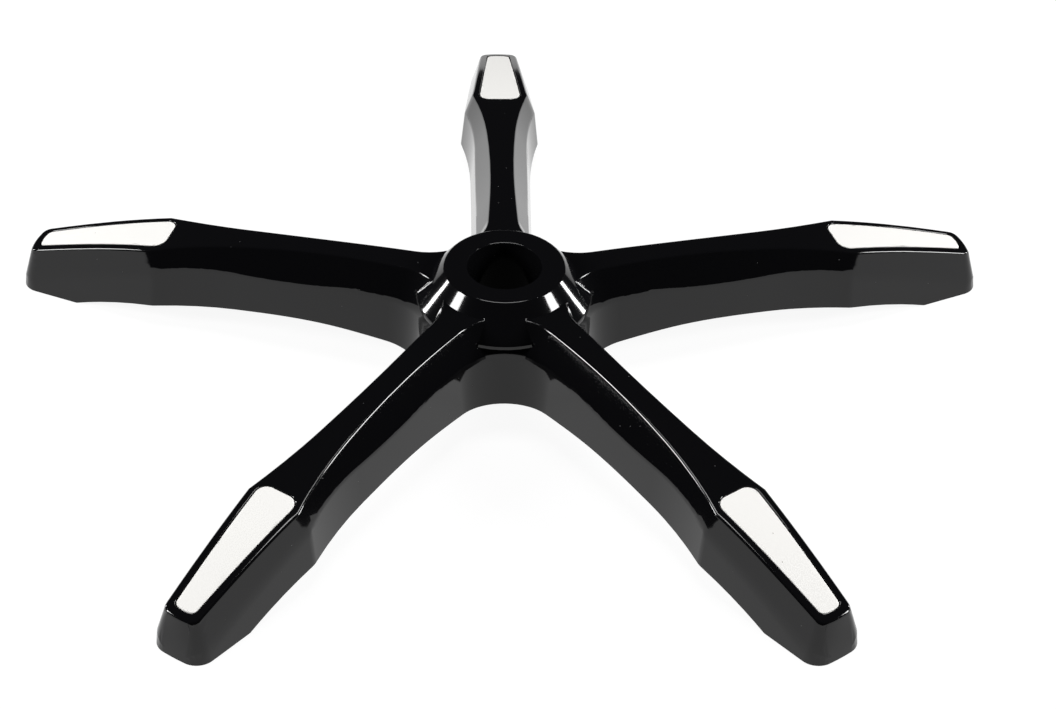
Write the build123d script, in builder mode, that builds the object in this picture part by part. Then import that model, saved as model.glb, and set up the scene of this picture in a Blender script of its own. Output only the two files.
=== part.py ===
from build123d import *
from math import cos, hypot, radians, sin, tan
import os

# Five-star base of an office chair: one casting, with a pale plate let into the end of each arm.
# Z is up, the origin is on the hub's axis in the plane of the floor, and +Y points along one arm.

# Layout
arm_count = 5
half_pitch = 180 / arm_count
wall = 4.0
roof = 4.5

# Hub: a ring above the arms, on a cone whose lip shows between them
ring_height = 87.6
ring_radius = 40.0
cone_lean = 39.5
lip_radius = 58.6
lip_bottom = 62.5
bore_radius = 25.0
bore_chamfer = 0.6
sleeve_radius = 32.0

# Arm: half widths at the height of the crease between flank and skirt
crease_height = 53.0
waist_reach = 185.0
knee_reach = 243.0
flank_lean = 25.6
flank_waist = 17.0
flank_slope = 0.063
flank_straight = 100.0
flank_knee = 21.2
flank_crotch_round = 28.0
skirt_lean = 5.7
skirt_waist = 18.35
skirt_knee = 24.7
skirt_crotch_round = 37.0
knee_round = 18.0

# Pod at the end of the arm, at floor height
tip_reach = knee_reach + 104.4
tip_half_width = 19.8
tip_round = 13.0
tip_bow = 1.3
pods_from = knee_reach - 18.0
pod_start = knee_reach - 93.0
pod_head_height = 62.0
# At the floor and at the head: start, tip, half width at the start and at the tip, round of the tip's corners
pod_foot = (pod_start, tip_reach + 0.6, 59.3, 20.5, 12.5)
pod_head = (pod_start, tip_reach - 13.0, 32.8, 4.5, 0.3)

# Top face of the arm, and lower edge of its skirt up to the knee, as reach and height
arm_top = [
    (0, 77.8),
    (60, 77.8),
    (105, 75.8),
    (150, 71.7),
    (205, 64.2),
    (knee_reach + 2, 56.9),
    (knee_reach + 47, 45.6),
    (tip_reach + 4, 25.8),
]
skirt_foot = [(45, 17.5), (60, 18.9), (120, 24.3), (180, 21.7), (knee_reach - 1, 15.6)]
foot_middle = (knee_reach + 30, 9.6)
foot_start = tip_reach - 43.5
flank_top = 81.0

# Caster socket in the foot of the pod
socket_reach = tip_reach - 25.4
socket_radius = 5.5
socket_depth = 24.0
socket_chamfer = 0.8
boss_radius = 10.5

# Ribs on the hidden side
rib_thickness = 3.5
rib_foot = 30.0
pod_rib_foot = 8.0
cross_rib_reaches = [120.0, 180.0, knee_reach - 3, knee_reach + 40]

# Plate let into the pod
plate_start = knee_reach - 3.8
plate_end = tip_reach - 11.9
plate_start_half_width = 14.9
plate_end_half_width = 7.75
plate_start_round = 7.4
plate_end_round = 3.4
plate_bow = 1.6
plate_thickness = 1.6
plate_gap = 0.8
plate_below = 0.1

# Reach of the cutting shapes past the casting
beyond = 20.0

arm_angles = [90 + 360 / arm_count * i for i in range(arm_count)]
gap_angles = [angle + half_pitch for angle in arm_angles]


def spread(lean, height):
    """Sideways travel of a wall with this lean over a height."""
    return height * tan(radians(lean))


def corner_reach(half_width, slope, start):
    """Reach at which two neighbouring arms' sides meet, for a side through (start, half_width)."""
    return (half_width + slope * start) / (tan(radians(half_pitch)) + slope)


def star_corners(star, reach):
    """The corners between the arms."""
    far = reach / cos(radians(half_pitch))
    return [v for v in star.vertices() if abs(hypot(v.X, v.Y) - far) < 0.5]


def flank_outline(inset):
    """Floor-height outline of the sloping flanks, moved in by an inset."""
    out = spread(flank_lean, crease_height) - inset
    straight = flank_waist + flank_slope * (waist_reach - flank_straight) / 2 + out
    corner = corner_reach(straight, flank_slope, flank_straight)
    knee_flare = 2 * (flank_knee - flank_waist) / (knee_reach - waist_reach)
    end = tip_reach + spread(flank_lean, flank_top)
    with BuildSketch() as arm:
        with BuildLine():
            Line((0, 0), (end, 0))
            Line((end, 0), (end, flank_knee + knee_flare * (end - knee_reach) + out))
            Line((end, flank_knee + knee_flare * (end - knee_reach) + out), (knee_reach, flank_knee + out))
            TangentArc((waist_reach, flank_waist + out), (knee_reach, flank_knee + out), tangent=(1, 0))
            TangentArc((waist_reach, flank_waist + out), (flank_straight, straight), tangent=(-1, 0))
            Line((flank_straight, straight), (corner, corner * tan(radians(half_pitch))))
            Line((corner, corner * tan(radians(half_pitch))), (0, 0))
        make_face()
        mirror(about=Plane.XZ)
    with BuildSketch() as star:
        for angle in arm_angles:
            add(arm.sketch, rotation=angle)
        fillet(star_corners(star, corner), flank_crotch_round - out)
    return star.sketch


def skirt_outline(inset):
    """Floor-height outline of the steep skirt, moved in by an inset."""
    out = spread(skirt_lean, crease_height) - inset
    corner = corner_reach(skirt_waist + out, 0, 0)
    tip = tip_reach - inset
    with BuildSketch() as arm:
        with BuildLine():
            Line((0, 0), (tip, 0))
            TangentArc((tip, 0), (tip - tip_bow, tip_half_width - inset), tangent=(0, 1))
            Line((tip - tip_bow, tip_half_width - inset), (knee_reach, skirt_knee + out))
            TangentArc((waist_reach, skirt_waist + out), (knee_reach, skirt_knee + out), tangent=(1, 0))
            Line((waist_reach, skirt_waist + out), (corner, skirt_waist + out))
            Line((corner, skirt_waist + out), (0, 0))
        make_face()
        mirror(about=Plane.XZ)
    with BuildSketch() as star:
        for angle in arm_angles:
            add(arm.sketch, rotation=angle)
        fillet(star_corners(star, corner), skirt_crotch_round - out)
        far = hypot(knee_reach, skirt_knee + out)
        fillet([v for v in star.vertices() if abs(hypot(v.X, v.Y) - far) < 0.3], knee_round - inset)
        far = hypot(tip - tip_bow, tip_half_width - inset)
        fillet([v for v in star.vertices() if abs(hypot(v.X, v.Y) - far) < 0.3], tip_round - inset)
    return star.sketch


def pod_outline(inset, height):
    """Outline of one pod's upper wall along +X at a height, moved in by an inset."""
    part = height / pod_head_height
    start, tip, start_half_width, tip_half_width, tip_round = (
        foot + (head - foot) * part for foot, head in zip(pod_foot, pod_head)
    )
    corner = (tip - tip_bow - inset, tip_half_width - inset)
    side = (start + inset, start_half_width - inset)
    with BuildSketch(Plane.XY.offset(height)) as pod:
        with BuildLine():
            Line((side[0], 0), (tip - inset, 0))
            TangentArc((tip - inset, 0), corner, tangent=(0, 1))
            Line(corner, side)
            Line(side, (side[0], 0))
        make_face()
        mirror(about=Plane.XZ)
        corner_round = max(tip_round - inset * (1 - part), 0.2)
        fillet([v for v in pod.vertices() if abs(v.X - corner[0]) < 0.3], corner_round)
    return pod.sketch


def arm_form(inset, height):
    """Skirt, flanks and pods as one solid, not yet bounded above and below."""
    with BuildPart() as pod:
        loft([pod_outline(inset, 0), pod_outline(inset, pod_head_height)], ruled=True)
    with BuildPart() as pods:
        Cylinder(pods_from, height, align=(Align.CENTER, Align.CENTER, Align.MIN))
        for angle in arm_angles:
            add(pod.part, rotation=(0, 0, angle))
    with BuildPart() as flanks:
        extrude(flank_outline(inset), amount=height, taper=flank_lean)
    with BuildPart() as form:
        extrude(skirt_outline(inset), amount=height, taper=skirt_lean)
        add(flanks.part, mode=Mode.INTERSECT)
        add(pods.part, mode=Mode.INTERSECT)
    return form.part


def below_top(drop):
    """Everything under the arms' top face, lowered by a drop, down to below the floor."""
    with BuildPart() as space:
        with BuildSketch(Plane.XZ):
            with BuildLine():
                Spline([(reach, height - drop) for reach, height in arm_top], tangents=[(1, 0), (3, -1)])
                Line((arm_top[-1][0], arm_top[-1][1] - drop), (arm_top[-1][0], -beyond))
                Line((arm_top[-1][0], -beyond), (0, -beyond))
                Line((0, -beyond), (0, arm_top[0][1] - drop))
            make_face()
        revolve(axis=Axis.Z)
    return space.part


def plate_outline(grow):
    """Outline of one plate along +X, grown by its clearance."""
    start = plate_start - grow
    end = plate_end + grow
    with BuildSketch() as outline:
        with BuildLine():
            Line((start, 0), (end, 0))
            TangentArc((end, 0), (end - plate_bow, plate_end_half_width + grow), tangent=(0, 1))
            Line((end - plate_bow, plate_end_half_width + grow), (start, plate_start_half_width + grow))
            Line((start, plate_start_half_width + grow), (start, 0))
        make_face()
        mirror(about=Plane.XZ)
        start_corners = [v for v in outline.vertices() if abs(v.X - start) < 0.1 and abs(v.Y) > 5]
        fillet(start_corners, plate_start_round + grow)
        end_corners = [v for v in outline.vertices() if abs(v.X - end + plate_bow) < 0.1]
        fillet(end_corners, plate_end_round + grow)
    return outline.sketch


# Space under the arms' top face and over the skirt's foot
with BuildPart() as foot_space:
    with BuildSketch(Plane.XZ):
        with BuildLine():
            Line((0, skirt_foot[0][1]), skirt_foot[0])
            Spline(skirt_foot)
            ThreePointArc(skirt_foot[-1], foot_middle, (foot_start, 0))
            Line((foot_start, 0), (foot_start, -beyond))
            Line((foot_start, -beyond), (0, -beyond))
            Line((0, -beyond), (0, skirt_foot[0][1]))
        make_face()
    revolve(axis=Axis.Z)

lip_top = ring_height - (lip_radius - ring_radius) / tan(radians(cone_lean))
hub_depth = ring_height - roof
cone_inside = ring_radius + spread(cone_lean, roof) - roof / cos(radians(cone_lean))
pocket_depth = 10.5
pocket_wide = cone_inside + spread(cone_lean, pocket_depth - 3)

# Hollow seen from below: inside of the arms, and the pocket in the cone, without the ribs
with BuildPart() as ribs:
    for angle in arm_angles:
        along = (cos(radians(angle)), sin(radians(angle)), 0)
        across = (sin(radians(angle)), -cos(radians(angle)), 0)
        with BuildSketch(Plane(origin=(0, 0, 0), x_dir=along, z_dir=across)):
            Polygon(
                (0, rib_foot), (knee_reach - 10, rib_foot), (foot_start, pod_rib_foot),
                (socket_reach, pod_rib_foot), (socket_reach, ring_height), (0, ring_height), align=None,
            )
        extrude(amount=rib_thickness / 2, both=True)
        for reach in cross_rib_reaches:
            with Locations(Location((0, 0, 0), (0, 0, angle)) * Location((reach, 0, rib_foot))):
                Box(rib_thickness, 4 * skirt_knee, ring_height, align=(Align.CENTER, Align.CENTER, Align.MIN))
    for angle in gap_angles:
        with Locations(Location((0, 0, 0), (0, 0, angle)) * Location((0, 0, rib_foot))):
            Box(2 * lip_radius, rib_thickness, ring_height, align=(Align.MIN, Align.CENTER, Align.MIN))

with BuildPart() as hollow:
    add(arm_form(wall, flank_top - 2 * wall))
    add(below_top(roof), mode=Mode.INTERSECT)
    # Pocket between the sleeve and the cone
    with BuildSketch(Plane.XZ):
        with BuildLine():
            Polyline(
                (0, hub_depth - pocket_depth),
                (pocket_wide - 1, hub_depth - pocket_depth),
                (pocket_wide, hub_depth - pocket_depth + 3),
                (cone_inside, hub_depth),
                (0, hub_depth),
                close=True,
            )
        make_face()
    revolve(axis=Axis.Z)
    add(ribs.part, mode=Mode.SUBTRACT)
    # Sleeve of the gas-lift seat and bosses of the caster sockets stay solid
    Cylinder(sleeve_radius, ring_height, align=(Align.CENTER, Align.CENTER, Align.MIN), mode=Mode.SUBTRACT)
    with PolarLocations(socket_reach, arm_count, start_angle=90):
        Cylinder(boss_radius, ring_height, align=(Align.CENTER, Align.CENTER, Align.MIN), mode=Mode.SUBTRACT)

# Recess for each plate, and the plate in it
with BuildPart() as recess_depth:
    add(below_top(plate_below + plate_thickness))
with BuildPart() as plate_depth:
    add(below_top(plate_below))
    add(recess_depth.part, mode=Mode.SUBTRACT)

with BuildPart() as recesses:
    for angle in arm_angles:
        with BuildSketch(Plane.XY):
            add(plate_outline(plate_gap), rotation=angle)
        extrude(amount=ring_height)
    add(recess_depth.part, mode=Mode.SUBTRACT)

with BuildPart() as star_base:
    # Arms and pods
    add(arm_form(0, flank_top))
    add(below_top(0), mode=Mode.INTERSECT)
    add(foot_space.part, mode=Mode.SUBTRACT)
    # Hub ring, cone and lip
    with BuildSketch(Plane.XZ):
        with BuildLine():
            Polyline(
                (0, lip_bottom),
                (lip_radius, lip_bottom),
                (lip_radius, lip_top),
                (ring_radius, ring_height),
                (0, ring_height),
                close=True,
            )
        make_face()
    revolve(axis=Axis.Z)
    # Hollow from below, sleeve, gas-lift bore
    add(hollow.part, mode=Mode.SUBTRACT)
    Cylinder(sleeve_radius, lip_bottom, align=(Align.CENTER, Align.CENTER, Align.MIN))
    Cylinder(bore_radius, 3 * ring_height, mode=Mode.SUBTRACT)
    with Locations((0, 0, ring_height)):
        Cone(bore_radius, bore_radius + 2 * bore_chamfer, 2 * bore_chamfer, mode=Mode.SUBTRACT)
    # Caster sockets
    with PolarLocations(socket_reach, arm_count, start_angle=90):
        Cylinder(socket_radius, 2 * socket_depth, mode=Mode.SUBTRACT)
        Cone(socket_radius + 2 * socket_chamfer, socket_radius, 2 * socket_chamfer, mode=Mode.SUBTRACT)
    # Recesses for the plates
    add(recesses.part, mode=Mode.SUBTRACT)

os.makedirs("parts", exist_ok=True)
star_base.part.label = "star_base"
export_step(star_base.part, "parts/star_base.step")

for number, angle in enumerate(arm_angles, start=1):
    with BuildPart() as insert:
        with BuildSketch(Plane.XY):
            add(plate_outline(0), rotation=angle)
        extrude(amount=ring_height)
        add(plate_depth.part, mode=Mode.INTERSECT)
    insert.part.label = f"insert_{number}"
    export_step(insert.part, f"parts/insert_{number}.step")
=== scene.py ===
import math

import bmesh
import bpy
import numpy as np
from mathutils import Matrix, Vector


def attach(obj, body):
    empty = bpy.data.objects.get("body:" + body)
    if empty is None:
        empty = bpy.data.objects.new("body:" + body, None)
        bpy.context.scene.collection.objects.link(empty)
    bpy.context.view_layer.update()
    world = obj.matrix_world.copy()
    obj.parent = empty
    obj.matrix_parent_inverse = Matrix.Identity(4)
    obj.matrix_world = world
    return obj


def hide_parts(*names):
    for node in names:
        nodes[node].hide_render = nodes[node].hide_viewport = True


# chair base on a white sweep, seen from above the front gap
# metres, Z up, hub axis at the origin, +Y along the back arm; form sizes below are in mm

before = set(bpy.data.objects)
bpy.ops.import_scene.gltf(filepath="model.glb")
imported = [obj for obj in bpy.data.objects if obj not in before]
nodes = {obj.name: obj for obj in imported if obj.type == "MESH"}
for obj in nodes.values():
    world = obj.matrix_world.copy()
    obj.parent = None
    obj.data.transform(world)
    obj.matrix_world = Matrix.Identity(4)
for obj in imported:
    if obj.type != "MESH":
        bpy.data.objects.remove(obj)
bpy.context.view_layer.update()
scene = bpy.context.scene
print("frame loaded", sorted(nodes))


def newMaterial(name):
    mat = bpy.data.materials.new(name)
    mat.use_nodes = True
    nt = mat.node_tree
    nt.nodes.clear()
    out = nt.nodes.new("ShaderNodeOutputMaterial")
    out.location = (600, 0)
    return mat, nt, out


def aim(obj, target):
    obj.rotation_euler = (Vector(target) - obj.location).to_track_quat("-Z", "Y").to_euler()


# casting
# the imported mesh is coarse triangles, so each corner gets the true normal of the face form it lies on
# leans are in degrees from upright; reaches run along an arm from the axis, half widths across it
# a round has its width, its segments and the least angle in radians of an edge that takes it
casting = {
    "finish": {
        "colour": (0.003, 0.003, 0.0035),
        "rough": 0.08,
        "ior": 1.42,
        "speck": (0.1, 0.1, 0.1),
        "speckRough": 0.6,
        "perMetre": 330.0,
        "share": 0.025,
        "size": 0.1,
    },
    "arms": 5,
    "waist": 185.0,
    "knee": 243.0,
    "tip": 347.4,
    "crease": 53.0,
    "flank": {"lean": 25.6, "waist": 17.0, "slope": 0.063, "straight": 100.0, "knee": 21.2, "crotch": 28.0},
    "skirt": {
        "lean": 5.7, "waist": 18.35, "knee": 24.7, "kneeRound": 18.0, "crotch": 37.0,
        "tipHalf": 19.8, "tipRound": 13.0, "bow": 1.3,
    },
    "podFrom": 205.0,
    "podHead": 62.0,
    "podFoot": {"start": 150.0, "tip": 348.0, "startHalf": 59.3, "tipHalf": 20.5, "corner": 12.5},
    "podTop": {"start": 150.0, "tip": 334.4, "startHalf": 32.8, "tipHalf": 4.5, "corner": 0.3},
    "topReach": (0, 60, 105, 150, 205, 245, 290, 351.4),
    "topHeight": (77.8, 77.8, 75.8, 71.7, 64.2, 56.9, 45.6, 25.8),
    "topEndSlope": -1 / 3,
    "topSamples": 1400,
    "topFrom": 50.0,
    "hub": {
        "ring": 40.0, "top": 87.6, "coneLean": 39.5, "lip": 58.6, "lipBottom": 62.5,
        "bore": 25.0, "boreMouth": 25.6,
    },
    "rounds": {
        "crease": (2.0, 3, 0.1),
        "rim": (2.0, 4, 0.5),
        "recess": (0.35, 3, 0.5),
        "ring": (1.4, 3, 0.5),
        "lip": (1.8, 3, 0.5),
        "lipUnder": (0.5, 3, 0.5),
        "bore": (0.25, 3, 0.5),
    },
    "creaseSpan": (90.0, 239.0),
    "rimFrom": 45.0,
    "recessFrom": 236.2,
    "recessInset": 2.0,
    "creaseAtHub": 55.5,
    "creaseSoft": 3.0,
    "podSoft": 1.5,
    "kneeSoft": 2.0,
    "hubBlend": (120.0, 92.0),
    "podBlend": (231.0, 251.0),
    "fineness": 6.0,
    "refineTurns": 5,
}
# how near in mm a point is to a form that it lies on
# facings: how alike a face and its form must point, where 1 is the same way
near = {
    "crease": 0.12,
    "top": 0.25,
    "side": 0.3,
    "circle": 0.05,
    "form": 0.2,
    "facing": 0.88,
    "topFacing": 0.995,
    "roundFacing": 0.3,
}
armTurn = 2 * math.pi / casting["arms"]
halfTurn = armTurn / 2


def unit(x, y):
    n = math.hypot(x, y)
    return np.array((x / n, y / n))


def arcRadius(reach, rise):
    # of the arc that starts level and rises so far over that reach
    return (reach**2 + rise**2) / (2 * rise)


def roundCorner(p, d0, d1, radius):
    # centre and the two tangent points of a round between two directions through p
    turn = d0[0] * d1[1] - d0[1] * d1[0]
    side = 1 if turn > 0 else -1
    t = radius * math.tan(math.acos(min(1, max(-1, float(d0 @ d1)))) / 2)
    a = p - d0 * t
    return a + side * radius * np.array((-d0[1], d0[0])), a, p + d1 * t


def line(p, d):
    return ("line", np.array(p, float), np.array((-d[1], d[0])))


def sidePieces():
    # outlines of flank and skirt at floor height: a first piece, then a gate and the piece past it in turn
    flank, skirt = casting["flank"], casting["skirt"]
    waist, knee, tip = casting["waist"], casting["knee"], casting["tip"]
    reach = knee - waist
    gap = np.array((math.cos(halfTurn), math.sin(halfTurn)))
    level = np.array((1.0, 0))

    out = math.tan(math.radians(flank["lean"])) * casting["crease"]
    half = flank["waist"] + flank["slope"] * (waist - flank["straight"]) / 2 + out
    corner = (half + flank["slope"] * flank["straight"]) / (math.tan(halfTurn) + flank["slope"])
    p = np.array((corner, corner * math.tan(halfTurn)))
    taper = unit(1, -flank["slope"])
    crotch = flank["crotch"] - out
    centre = p + gap * crotch / math.sin(halfTurn + math.atan(flank["slope"]))
    rise = flank["knee"] - flank["waist"]
    narrowing = (waist - flank["straight"]) / math.sin(math.atan(flank["slope"]))
    widening = arcRadius(reach, rise)
    flare = unit(reach, 2 * rise)
    kneeAt = np.array((knee, flank["knee"] + out))
    flankLine = [
        ("bowl", centre, crotch),
        (centre, taper),
        line(p, taper),
        (np.array((flank["straight"], half)), taper),
        ("bowl", np.array((waist, flank["waist"] + out + narrowing)), narrowing),
        (np.array((waist, 0)), level),
        ("bowl", np.array((waist, flank["waist"] + out + widening)), widening),
        (kneeAt, flare),
        line(kneeAt, flare),
    ]

    out = math.tan(math.radians(skirt["lean"])) * casting["crease"]
    half = skirt["waist"] + out
    crotch = skirt["crotch"] - out
    centre = np.array((half / math.tan(halfTurn), half)) + gap * crotch / math.sin(halfTurn)
    widening = arcRadius(reach, skirt["knee"] - skirt["waist"])
    kneeAt = np.array((knee, skirt["knee"] + out))
    end = np.array((tip - skirt["bow"], skirt["tipHalf"]))
    up = np.array((math.sqrt(1 - (reach / widening) ** 2), reach / widening))
    down = unit(*(end - kneeAt))
    kneeCentre, kneeStart, kneeEnd = roundCorner(kneeAt, up, down, skirt["kneeRound"])
    bowRadius = arcRadius(skirt["tipHalf"], skirt["bow"])
    across = unit(skirt["tipHalf"] / bowRadius, -1.0)
    tipCentre, tipStart, tipEnd = roundCorner(end, down, across, skirt["tipRound"])
    skirtLine = [
        ("bowl", centre, crotch),
        (centre, level),
        line((0, half), level),
        (np.array((waist, 0)), level),
        ("bowl", np.array((waist, half + widening)), widening),
        (kneeStart, up),
        ("ball", kneeCentre, skirt["kneeRound"]),
        (kneeEnd, down),
        line(end, down),
        (tipStart, down),
        ("ball", tipCentre, skirt["tipRound"]),
        (tipEnd, across),
        ("ball", np.array((tip - bowRadius, 0.0)), bowRadius),
    ]
    return flankLine, skirtLine


def offsets(pieces, uv):
    # signed distance to an outline and its outward normal; gates between pieces are half planes
    def piece(k):
        kind, at, how = pieces[k]
        if kind == "line":
            return (uv - at) @ how, np.broadcast_to(how, uv.shape)
        away = uv - at
        dist = np.linalg.norm(away, axis=1)
        n = away / np.maximum(dist, 1e-9)[:, None]
        return (how - dist, -n) if kind == "bowl" else (dist - how, n)

    dist, normal = piece(0)
    normal = normal.copy()
    live = np.ones(len(uv), bool)
    for k in range(1, len(pieces), 2):
        at, way = pieces[k]
        live = live & ((uv - at) @ way > 0)
        d, n = piece(k + 1)
        dist[live] = d[live]
        normal[live] = n[live]
    return dist, normal


def podLevel(start, tip, startHalf, tipHalf, corner):
    # a pod outline as one row: start, corner centre, its two tangent points, corner radius, tip
    bow = casting["skirt"]["bow"]
    end = np.array((tip - bow, tipHalf))
    sideWay = unit(end[0] - start, tipHalf - startHalf)
    tipWay = unit(tipHalf / arcRadius(tipHalf, bow), -1.0)
    return np.concatenate(((start, startHalf), *roundCorner(end, sideWay, tipWay, corner), (corner, tip)))


def podField(u, v, z):
    # signed distance to one pod's upper wall, whose outline changes from foot to head
    part = (z / casting["podHead"])[:, None]
    at = podLevels[0] + (podLevels[1] - podLevels[0]) * part
    start, centre, ta, tb = (at[:, k : k + 2] for k in (0, 2, 4, 6))
    radius, tip = at[:, 8], at[:, 9]
    bowRadius = arcRadius(tb[:, 1], np.maximum(tip - tb[:, 0], 1e-3))
    uv = np.stack((u, v), 1)
    way = ta - start
    way /= np.linalg.norm(way, axis=1)[:, None]
    side = (uv[:, 1] - start[:, 1]) * way[:, 0] - (uv[:, 0] - start[:, 0]) * way[:, 1]
    corner = np.linalg.norm(uv - centre, axis=1) - radius
    end = np.hypot(u - (tip - bowRadius), v) - bowRadius
    pastSide = np.sum((uv - ta) * way, 1) > 0
    endWay = np.stack((tb[:, 1] / bowRadius, -np.ones(len(u))), 1)
    pastCorner = pastSide & (np.sum((uv - tb) * endWay, 1) > 0)
    return np.where(pastCorner, end, np.where(pastSide, corner, side))


def topCurve():
    # cubic through the heights, level at its start
    reach = np.array(casting["topReach"], float)
    height = np.array(casting["topHeight"], float)
    n = len(reach)
    h = np.diff(reach)
    a = np.zeros((n, n))
    b = np.zeros(n)
    a[0, 0] = a[-1, -1] = 1
    b[-1] = casting["topEndSlope"]
    for i in range(1, n - 1):
        a[i, i - 1], a[i, i], a[i, i + 1] = 1 / h[i - 1], 2 / h[i - 1] + 2 / h[i], 1 / h[i]
        b[i] = 3 * ((height[i] - height[i - 1]) / h[i - 1] ** 2 + (height[i + 1] - height[i]) / h[i] ** 2)
    slopes = np.linalg.solve(a, b)
    r = np.linspace(0, reach[-1], casting["topSamples"])
    i = np.clip(np.searchsorted(reach, r, side="right") - 1, 0, n - 2)
    t = (r - reach[i]) / h[i]
    z = (
        (2 * t**3 - 3 * t**2 + 1) * height[i]
        + (t**3 - 2 * t**2 + t) * h[i] * slopes[i]
        + (3 * t**2 - 2 * t**3) * height[i + 1]
        + (t**3 - t**2) * h[i] * slopes[i + 1]
    )
    return r, z, np.gradient(z, r)


curveReach, curveHeight, curveSlope = topCurve()
flankPieces, skirtPieces = sidePieces()
podLevels = (podLevel(**casting["podFoot"]), podLevel(**casting["podTop"]))


def armFrame(p):
    # folds every arm onto one half arm along u, and gives the way back
    ang = np.arctan2(p[:, 1], p[:, 0]) - math.pi / 2
    turn = np.round(ang / armTurn) * armTurn + math.pi / 2
    u = p[:, 0] * np.cos(turn) + p[:, 1] * np.sin(turn)
    v = -p[:, 0] * np.sin(turn) + p[:, 1] * np.cos(turn)
    flip = np.where(v < 0, -1.0, 1.0)

    def back(nu, nv, nz):
        nv = nv * flip
        return np.stack((nu * np.cos(turn) - nv * np.sin(turn), nu * np.sin(turn) + nv * np.cos(turn), nz), 1)

    return u, np.abs(v), back


def upright(ray, level, rise):
    return np.concatenate((ray * level, np.full((len(ray), 1), float(rise))), 1)


def forms(p):
    # for points in mm: signed distance and normal of each form that shows
    r = np.hypot(p[:, 0], p[:, 1])
    z = p[:, 2]
    ray = p[:, :2] / np.maximum(r, 1e-9)[:, None]
    u, v, back = armFrame(p)
    uv = np.stack((u, v), 1)
    out = {}

    slope = np.interp(r, curveReach, curveSlope)
    k = 1 / np.sqrt(1 + slope**2)
    normal = np.stack((-slope * ray[:, 0] * k, -slope * ray[:, 1] * k, k), 1)
    out["top"] = ((z - np.interp(r, curveReach, curveHeight)) * k, normal)

    for name, pieces in (("flank", flankPieces), ("skirt", skirtPieces)):
        lean = math.radians(casting[name]["lean"])
        d, n = offsets(pieces, uv)
        normal = back(n[:, 0] * math.cos(lean), n[:, 1] * math.cos(lean), np.full(len(p), math.sin(lean)))
        out[name] = ((d + z * math.tan(lean)) * math.cos(lean), normal)

    tiny = 0.02
    farInside = -99.0
    g = [podField(u + a, v + b, z + w) - podField(u - a, v - b, z - w) for a, b, w in tiny * np.eye(3)]
    g = np.stack(g, 1) / (2 * tiny)
    steep = np.maximum(np.linalg.norm(g, axis=1), 1e-6)
    g = g / steep[:, None]
    d = np.where(u > casting["podFrom"], podField(u, v, z) / steep, farInside)
    out["pod"] = (d, back(g[:, 0], g[:, 1], g[:, 2]))

    hub = casting["hub"]
    lean = math.radians(hub["coneLean"])
    d = (r - hub["ring"]) * math.cos(lean) - (hub["top"] - z) * math.sin(lean)
    out["cone"] = (d, upright(ray, math.cos(lean), math.sin(lean)))
    out["lip"] = (r - hub["lip"], upright(ray, 1, 0))
    out["ring"] = (z - hub["top"], upright(ray, 0, 1))
    out["bore"] = (hub["bore"] - r, upright(ray, -1, 0))
    return out


def bmeshPoints(bm):
    return np.array([v.co[:] for v in bm.verts]) * 1000


def onEdge(name, p):
    # which points lie on the edge that a round takes
    f = forms(p)
    side = np.maximum(f["flank"][0], f["pod"][0])
    r = np.hypot(p[:, 0], p[:, 1])
    onTop = np.abs(f["top"][0]) < near["top"]
    if name == "crease":
        u = armFrame(p)[0]
        onWalls = (np.abs(f["skirt"][0]) < near["crease"]) & (np.abs(side) < near["crease"])
        return onWalls & (u > casting["creaseSpan"][0]) & (u < casting["creaseSpan"][1])
    if name == "rim":
        return onTop & (np.abs(side) < near["side"]) & (r > casting["rimFrom"])
    if name == "recess":
        return onTop & (side < -casting["recessInset"]) & (r > casting["recessFrom"])
    hub = casting["hub"]
    lipTop = hub["top"] - (hub["lip"] - hub["ring"]) / math.tan(math.radians(hub["coneLean"]))
    circles = {
        "ring": (hub["ring"], hub["top"]),
        "lip": (hub["lip"], lipTop),
        "lipUnder": (hub["lip"], hub["lipBottom"]),
        "bore": (hub["boreMouth"], hub["top"]),
    }
    return np.hypot(r - circles[name][0], p[:, 2] - circles[name][1]) < near["circle"]


def roundEdges(bm):
    # each round's strip keeps its number as its material, so that its normals can be set later
    for mark, (name, (width, segments, angle)) in enumerate(casting["rounds"].items()):
        on = onEdge(name, bmeshPoints(bm))
        bm.verts.index_update()
        edges = [e for e in bm.edges if on[e.verts[0].index] and on[e.verts[1].index]]
        edges = [e for e in edges if e.is_manifold and e.calc_face_angle(0) > angle]
        made = bmesh.ops.bevel(
            bm, geom=edges, offset=width / 1000, offset_type="OFFSET", segments=segments,
            profile=0.5, affect="EDGES", clamp_overlap=False, material=mark,
        )
        print("round", name, len(edges), "edges", len(made["faces"]), "faces")
    bmesh.ops.triangulate(bm, faces=bm.faces)


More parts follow.
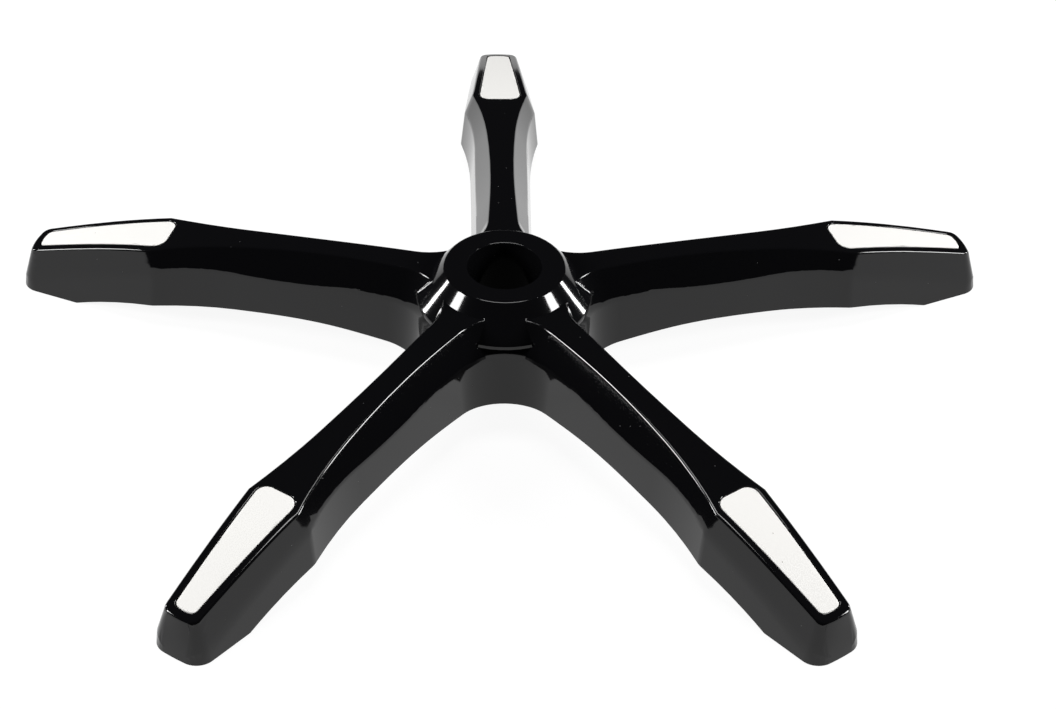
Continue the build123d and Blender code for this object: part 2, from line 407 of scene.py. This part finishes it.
def refineWalls(bm):
    # level cuts where the crease starts and ends near the hub, then finer triangles on the walls
    for lift in (-1, 0, 1):
        level = (casting["creaseAtHub"] + lift * casting["creaseSoft"]) / 1000
        start, end = casting["rimFrom"] / 1000, casting["hubBlend"][0] / 1000
        faces = [g for g in bm.faces if start < min(math.hypot(*v.co[:2]) for v in g.verts) < end]
        edges = dict.fromkeys(e for g in faces for e in g.edges)
        verts = dict.fromkeys(v for g in faces for v in g.verts)
        geom = [*faces, *edges, *verts]
        bmesh.ops.bisect_plane(bm, geom=geom, dist=1e-6, plane_co=(0, 0, level), plane_no=(0, 0, 1))
    bmesh.ops.triangulate(bm, faces=[g for g in bm.faces if len(g.verts) > 3])
    for turn in range(casting["refineTurns"]):
        f = forms(bmeshPoints(bm))
        wall = np.maximum(np.maximum(f["flank"][0], f["pod"][0]), f["skirt"][0])
        on = np.abs(wall) < near["side"]
        bm.verts.index_update()
        edges = [e for e in bm.edges if on[e.verts[0].index] and on[e.verts[1].index]]
        edges = [e for e in edges if e.calc_length() * 1000 > casting["fineness"]]
        if not edges:
            break
        bmesh.ops.subdivide_edges(bm, edges=edges, cuts=1)
        bmesh.ops.triangulate(bm, faces=[g for g in bm.faces if len(g.verts) > 3])


def softenEdges(mesh):
    bm = bmesh.new()
    bm.from_mesh(mesh)
    bmesh.ops.remove_doubles(bm, verts=bm.verts, dist=1e-6)
    for face in bm.faces:
        face.material_index = 0
    roundEdges(bm)
    refineWalls(bm)
    bm.to_mesh(mesh)
    bm.free()
    # the cuts double a few triangles, and this drops the doubles
    mesh.validate()


def share(x, start, end):
    return np.clip((x - start) / (end - start), 0, 1)


def step(x):
    x = np.clip(x, 0, 1)
    return (x * x * (3 - 2 * x))[:, None]


def softWalls(p, f):
    # one normal for flank, pod and skirt that turns softly from each to the next
    (flankOff, flankN), (podOff, podN), (skirtOff, skirtN) = f["flank"], f["pod"], f["skirt"]
    t = step(0.5 + 0.5 * (podOff - flankOff) / casting["kneeSoft"])
    upper = flankN * (1 - t) + podN * t
    upper /= np.linalg.norm(upper, axis=1)[:, None]
    upperOff = np.maximum(flankOff, podOff)
    u = armFrame(p)[0]
    byHeight = step(0.5 + 0.5 * (p[:, 2] - casting["creaseAtHub"]) / casting["creaseSoft"])
    bend = math.radians(casting["flank"]["lean"] - casting["skirt"]["lean"])
    sharp = casting["rounds"]["crease"][0] * math.sin(bend)
    soft = sharp + (casting["podSoft"] - sharp) * share(u, *casting["podBlend"])
    byDistance = step(0.5 + 0.5 * (upperOff - skirtOff) / soft)
    hubShare = share(u, *casting["hubBlend"])[:, None]
    t = byHeight * hubShare + byDistance * (1 - hubShare)
    n = upper * t + skirtN * (1 - t)
    n /= np.linalg.norm(n, axis=1)[:, None]
    return upperOff, skirtOff, n


def between(d0, n0, d1, n1):
    # normal across a round, from the distances to the two faces it joins
    a, b = np.abs(d0) + 1e-4, np.abs(d1) + 1e-4
    n = (b / (a + b))[:, None] * n0 + (a / (a + b))[:, None] * n1
    return n / np.linalg.norm(n, axis=1)[:, None]


def readMesh(mesh):
    co = np.zeros(len(mesh.vertices) * 3)
    mesh.vertices.foreach_get("co", co)
    tri = np.zeros(len(mesh.polygons) * 3, int)
    mesh.polygons.foreach_get("vertices", tri)
    mark = np.zeros(len(mesh.polygons), int)
    mesh.polygons.foreach_get("material_index", mark)
    return co.reshape(-1, 3) * 1000, tri.reshape(-1, 3), mark


def levelTop(co, tri, flat, f):
    # sets the top form to the heights that the mesh really has
    off, normal = f["top"]
    reach = np.hypot(co[:, 0], co[:, 1])
    close = np.abs(off[tri]).max(1) < near["side"]
    facing = np.sum(flat * normal[tri[:, 0]], 1) > near["topFacing"]
    pastRing = reach[tri[:, 0]] > casting["topFrom"]
    used = np.unique(tri[close & facing & pastRing])
    used = used[np.argsort(reach[used])]
    print("top form off by up to", round(float(np.abs(off[used]).max()), 3), "mm")
    return off - np.interp(reach, reach[used], off[used]), normal


def trueNormals(mesh):
    co, tri, mark = readMesh(mesh)
    f = forms(co)
    p0, p1, p2 = (co[tri[:, k]] for k in range(3))
    flat = np.cross(p1 - p0, p2 - p0)
    flat /= np.maximum(np.linalg.norm(flat, axis=1), 1e-9)[:, None]
    f["top"] = levelTop(co, tri, flat, f)
    normals = np.repeat(flat, 3, 0).reshape(-1, 3, 3).copy()
    none = 9.0
    best = np.full(len(tri), none)
    kind = np.full(len(tri), "plain", "U16")

    def take(hit, n, name):
        for k in range(3):
            normals[hit, k] = n[tri[hit, k]]
        kind[hit] = name

    def facing(n):
        return np.stack([np.sum(flat * n[tri[:, k]], 1) for k in range(3)], 1).min(1)

    side, skirt, soft = softWalls(co, f)
    for name in ("flank", "pod", "skirt"):
        f.pop(name)
    f["side"], f["skirt"] = (side, soft), (skirt, soft)
    for name, (d, n) in f.items():
        off = np.abs(d[tri]).max(1)
        alike = facing(n)
        fits = (off < near["form"]) & (alike > near["facing"]) & (mark == 0)
        score = np.where(fits, off + (1 - alike), none)
        better = score < best
        best[better] = score[better]
        take(better, n, name)

    rounds = list(casting["rounds"])
    for name, one, other in (("rim", "top", "side"), ("ring", "ring", "cone"), ("lip", "cone", "lip")):
        n = between(*f[one], *f[other])
        take((mark == rounds.index(name)) & (facing(n) > near["roundFacing"]), n, name + " round")
    names, counts = np.unique(kind, return_counts=True)
    print("faces by form", dict(zip(names.tolist(), counts.tolist())))
    return normals.reshape(-1, 3)


# one effect in both finishes: sparse specks of dust, a mask from cells that mostly stay empty
dust = bpy.data.node_groups.new("dust", "ShaderNodeTree")
for name, value in (("Cells per metre", 400.0), ("Share of cells", 0.05), ("Speck size", 0.12)):
    dust.interface.new_socket(name, in_out="INPUT", socket_type="NodeSocketFloat").default_value = value
dust.interface.new_socket("Mask", in_out="OUTPUT", socket_type="NodeSocketFloat")
inn, outn = dust.nodes.new("NodeGroupInput"), dust.nodes.new("NodeGroupOutput")
coords = dust.nodes.new("ShaderNodeTexCoord")
cells = dust.nodes.new("ShaderNodeTexVoronoi")
few, small, both = (dust.nodes.new("ShaderNodeMath") for _ in range(3))
few.operation, small.operation, both.operation = "LESS_THAN", "LESS_THAN", "MULTIPLY"
red = dust.nodes.new("ShaderNodeSeparateColor")
dust.links.new(coords.outputs["Object"], cells.inputs["Vector"])
dust.links.new(inn.outputs["Cells per metre"], cells.inputs["Scale"])
dust.links.new(cells.outputs["Color"], red.inputs[0])
dust.links.new(red.outputs[0], few.inputs[0])
dust.links.new(inn.outputs["Share of cells"], few.inputs[1])
dust.links.new(cells.outputs["Distance"], small.inputs[0])
dust.links.new(inn.outputs["Speck size"], small.inputs[1])
dust.links.new(few.outputs[0], both.inputs[0])
dust.links.new(small.outputs[0], both.inputs[1])
dust.links.new(both.outputs[0], outn.inputs["Mask"])


def dusted(name, finish):
    # plain finish with dust mixed into its colour and roughness
    mat, nt, out = newMaterial(name)
    bsdf = nt.nodes.new("ShaderNodeBsdfPrincipled")
    bsdf.location = (300, 0)
    mask = nt.nodes.new("ShaderNodeGroup")
    mask.node_tree = dust
    mask.location = (-300, 0)
    for socket, key in (("Cells per metre", "perMetre"), ("Share of cells", "share"), ("Speck size", "size")):
        mask.inputs[socket].default_value = finish[key]
    tone = nt.nodes.new("ShaderNodeMix")
    tone.data_type = "RGBA"
    tone.inputs[6].default_value = (*finish["colour"], 1)
    tone.inputs[7].default_value = (*finish["speck"], 1)
    matt = nt.nodes.new("ShaderNodeMix")
    matt.inputs[2].default_value = finish["rough"]
    matt.inputs[3].default_value = finish["speckRough"]
    matt.location = (0, -220)
    nt.links.new(mask.outputs["Mask"], tone.inputs[0])
    nt.links.new(mask.outputs["Mask"], matt.inputs[0])
    nt.links.new(tone.outputs[2], bsdf.inputs["Base Color"])
    nt.links.new(matt.outputs[0], bsdf.inputs["Roughness"])
    bsdf.inputs["IOR"].default_value = finish["ior"]
    nt.links.new(bsdf.outputs[0], out.inputs[0])
    return mat


paint = dusted("blackPaint", casting["finish"])
mesh = nodes["star_base"].data.copy()
softenEdges(mesh)
star = bpy.data.objects.new("starBase", mesh)
scene.collection.objects.link(star)
mesh.shade_smooth()
mesh.normals_split_custom_set(trueNormals(mesh).tolist())
mesh.polygons.foreach_set("material_index", np.zeros(len(mesh.polygons), int))
mesh.materials.clear()
mesh.materials.append(paint)
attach(star, "root")
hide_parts("star_base")
print("casting", len(mesh.polygons), "faces")

# plates
# one plate from the back arm gets a rounded edge, in metres here, and a node tree sets it out on every arm
plates = {
    "count": 5,
    "edge": 0.0003,
    "edgeSegments": 3,
    "edgeAngle": 50,
    "finish": {
        "colour": (0.86, 0.85, 0.825),
        "rough": 0.5,
        "ior": 1.45,
        "speck": (0.45, 0.43, 0.4),
        "speckRough": 0.7,
        "perMetre": 220.0,
        "share": 0.05,
        "size": 0.1,
    },
}
plateMat = dusted("plateFinish", plates["finish"])


def plateTree():
    tree = bpy.data.node_groups.new("plateRing", "GeometryNodeTree")
    tree.interface.new_socket("Geometry", in_out="INPUT", socket_type="NodeSocketGeometry")
    tree.interface.new_socket("Plates", in_out="INPUT", socket_type="NodeSocketInt").default_value = 5
    tree.interface.new_socket("Finish", in_out="INPUT", socket_type="NodeSocketMaterial")
    tree.interface.new_socket("Geometry", in_out="OUTPUT", socket_type="NodeSocketGeometry")
    inn, outn = tree.nodes.new("NodeGroupInput"), tree.nodes.new("NodeGroupOutput")
    points = tree.nodes.new("GeometryNodePoints")
    index = tree.nodes.new("GeometryNodeInputIndex")
    part, turn = tree.nodes.new("ShaderNodeMath"), tree.nodes.new("ShaderNodeMath")
    part.operation, turn.operation = "DIVIDE", "MULTIPLY"
    turn.inputs[1].default_value = 2 * math.pi
    spin = tree.nodes.new("ShaderNodeCombineXYZ")
    place = tree.nodes.new("GeometryNodeInstanceOnPoints")
    real = tree.nodes.new("GeometryNodeRealizeInstances")
    finish = tree.nodes.new("GeometryNodeSetMaterial")
    link = tree.links.new
    link(inn.outputs["Plates"], points.inputs["Count"])
    link(index.outputs[0], part.inputs[0])
    link(inn.outputs["Plates"], part.inputs[1])
    link(part.outputs[0], turn.inputs[0])
    link(turn.outputs[0], spin.inputs["Z"])
    link(points.outputs[0], place.inputs["Points"])
    link(inn.outputs["Geometry"], place.inputs["Instance"])
    link(spin.outputs[0], place.inputs["Rotation"])
    link(place.outputs[0], real.inputs[0])
    link(real.outputs[0], finish.inputs["Geometry"])
    link(inn.outputs["Finish"], finish.inputs["Material"])
    link(finish.outputs[0], outn.inputs[0])
    return tree


mesh = nodes["insert_1"].data.copy()
bm = bmesh.new()
bm.from_mesh(mesh)
bmesh.ops.remove_doubles(bm, verts=bm.verts, dist=1e-6)
bm.to_mesh(mesh)
bm.free()
mesh.shade_smooth()
maker = bpy.data.objects.new("plateMaker", mesh)
scene.collection.objects.link(maker)
edge = maker.modifiers.new("edge", "BEVEL")
edge.width = plates["edge"]
edge.segments = plates["edgeSegments"]
edge.limit_method = "ANGLE"
edge.angle_limit = math.radians(plates["edgeAngle"])
edge.use_clamp_overlap = False
edge.harden_normals = True
ring = maker.modifiers.new("ring", "NODES")
ring.node_group = plateTree()
sockets = {s.name: s.identifier for s in ring.node_group.interface.items_tree if s.in_out == "INPUT"}
ring[sockets["Plates"]] = plates["count"]
ring[sockets["Finish"]] = plateMat
mesh = bpy.data.meshes.new_from_object(maker.evaluated_get(bpy.context.evaluated_depsgraph_get()))
bpy.data.objects.remove(maker)
plateSet = bpy.data.objects.new("plates", mesh)
scene.collection.objects.link(plateSet)
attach(plateSet, "root")
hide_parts(*[f"insert_{i}" for i in range(1, 6)])
print("plates", len(mesh.polygons), "faces", [m.name for m in mesh.materials])

# sweep and lights
# the paper's own light is for the camera and for reflections, so that it reads white and keeps the shadow
sweep = {"size": 30.0, "glow": 0.92, "albedo": 0.13}
bpy.ops.mesh.primitive_plane_add(size=sweep["size"], location=(0, 0, 0))
floor = bpy.context.object
floor.name = "sweep"
mat, nt, out = newMaterial("sweepPaper")
diff = nt.nodes.new("ShaderNodeBsdfDiffuse")
diff.inputs[0].default_value = (sweep["albedo"],) * 3 + (1,)
glow = nt.nodes.new("ShaderNodeEmission")
path = nt.nodes.new("ShaderNodeLightPath")
seen, either, strength = (nt.nodes.new("ShaderNodeMath") for _ in range(3))
seen.operation, either.operation, strength.operation = "MAXIMUM", "MAXIMUM", "MULTIPLY"
nt.links.new(path.outputs["Is Camera Ray"], seen.inputs[0])
nt.links.new(path.outputs["Is Glossy Ray"], seen.inputs[1])
nt.links.new(seen.outputs[0], either.inputs[0])
nt.links.new(path.outputs["Is Transmission Ray"], either.inputs[1])
nt.links.new(either.outputs[0], strength.inputs[0])
strength.inputs[1].default_value = sweep["glow"]
nt.links.new(strength.outputs[0], glow.inputs[1])
both = nt.nodes.new("ShaderNodeAddShader")
nt.links.new(diff.outputs[0], both.inputs[0])
nt.links.new(glow.outputs[0], both.inputs[1])
nt.links.new(both.outputs[0], out.inputs[0])
floor.data.materials.append(mat)

lamps = {
    "overhead": {"az": 90, "el": 80, "dist": 2.2, "size": (1.1, 0.5), "power": 20},
    "left": {"az": 188, "el": 25, "dist": 2.4, "size": (0.5, 0.9), "power": 46},
    "right": {"az": -8, "el": 25, "dist": 2.4, "size": (0.5, 0.9), "power": 46},
    "leftBack": {"az": 156, "el": 10, "dist": 2.4, "size": (0.2, 0.6), "power": 15},
    "rightBack": {"az": 24, "el": 10, "dist": 2.4, "size": (0.2, 0.6), "power": 15},
}
lampTarget = (0, 0, 0.05)
for name, b in lamps.items():
    data = bpy.data.lights.new(name, "AREA")
    data.shape = "RECTANGLE"
    data.size, data.size_y = b["size"]
    data.energy = b["power"]
    lamp = bpy.data.objects.new(name, data)
    scene.collection.objects.link(lamp)
    az, el = math.radians(b["az"]), math.radians(b["el"])
    way = (math.cos(el) * math.cos(az), math.cos(el) * math.sin(az), math.sin(el))
    lamp.location = [b["dist"] * w for w in way]
    aim(lamp, lampTarget)

roomColour = (0.01, 0.01, 0.011, 1)
world = bpy.data.worlds.new("studio")
scene.world = world
world.use_nodes = True
world.node_tree.nodes["Background"].inputs[0].default_value = roomColour
print("studio", len(lamps), "lamps")

# camera
# focal length and sensor in mm, angles in degrees, the rest in metres
# shift moves the object right and up in the frame, lift raises the camera
cam = {
    "focal": 109.09,
    "sensor": 36.0,
    "distance": 2.174955,
    "elevation": 38.882,
    "azimuth": -1.821,
    "roll": 1.292,
    "shift": (-0.017067, -0.006897),
    "lift": 0.003,
}
el, az, roll = (math.radians(cam[k]) for k in ("elevation", "azimuth", "roll"))
back = Vector((math.sin(az) * math.cos(el), -math.cos(az) * math.cos(el), math.sin(el)))
right = Vector((math.cos(az), math.sin(az), 0))
up = back.cross(right)
frameRight = right * math.cos(roll) + up * math.sin(roll)
frameUp = up * math.cos(roll) - right * math.sin(roll)
place = back * cam["distance"] - frameRight * cam["shift"][0] - frameUp * cam["shift"][1]
place.z += cam["lift"]
camData = bpy.data.cameras.new("camera")
camData.lens = cam["focal"]
camData.sensor_width = cam["sensor"]
camObj = bpy.data.objects.new("camera", camData)
scene.collection.objects.link(camObj)
camObj.matrix_world = Matrix.Translation(place) @ Matrix((frameRight, frameUp, back)).transposed().to_4x4()
scene.camera = camObj
print("camera", tuple(round(k, 4) for k in place))

scene.view_settings.view_transform = "Standard"
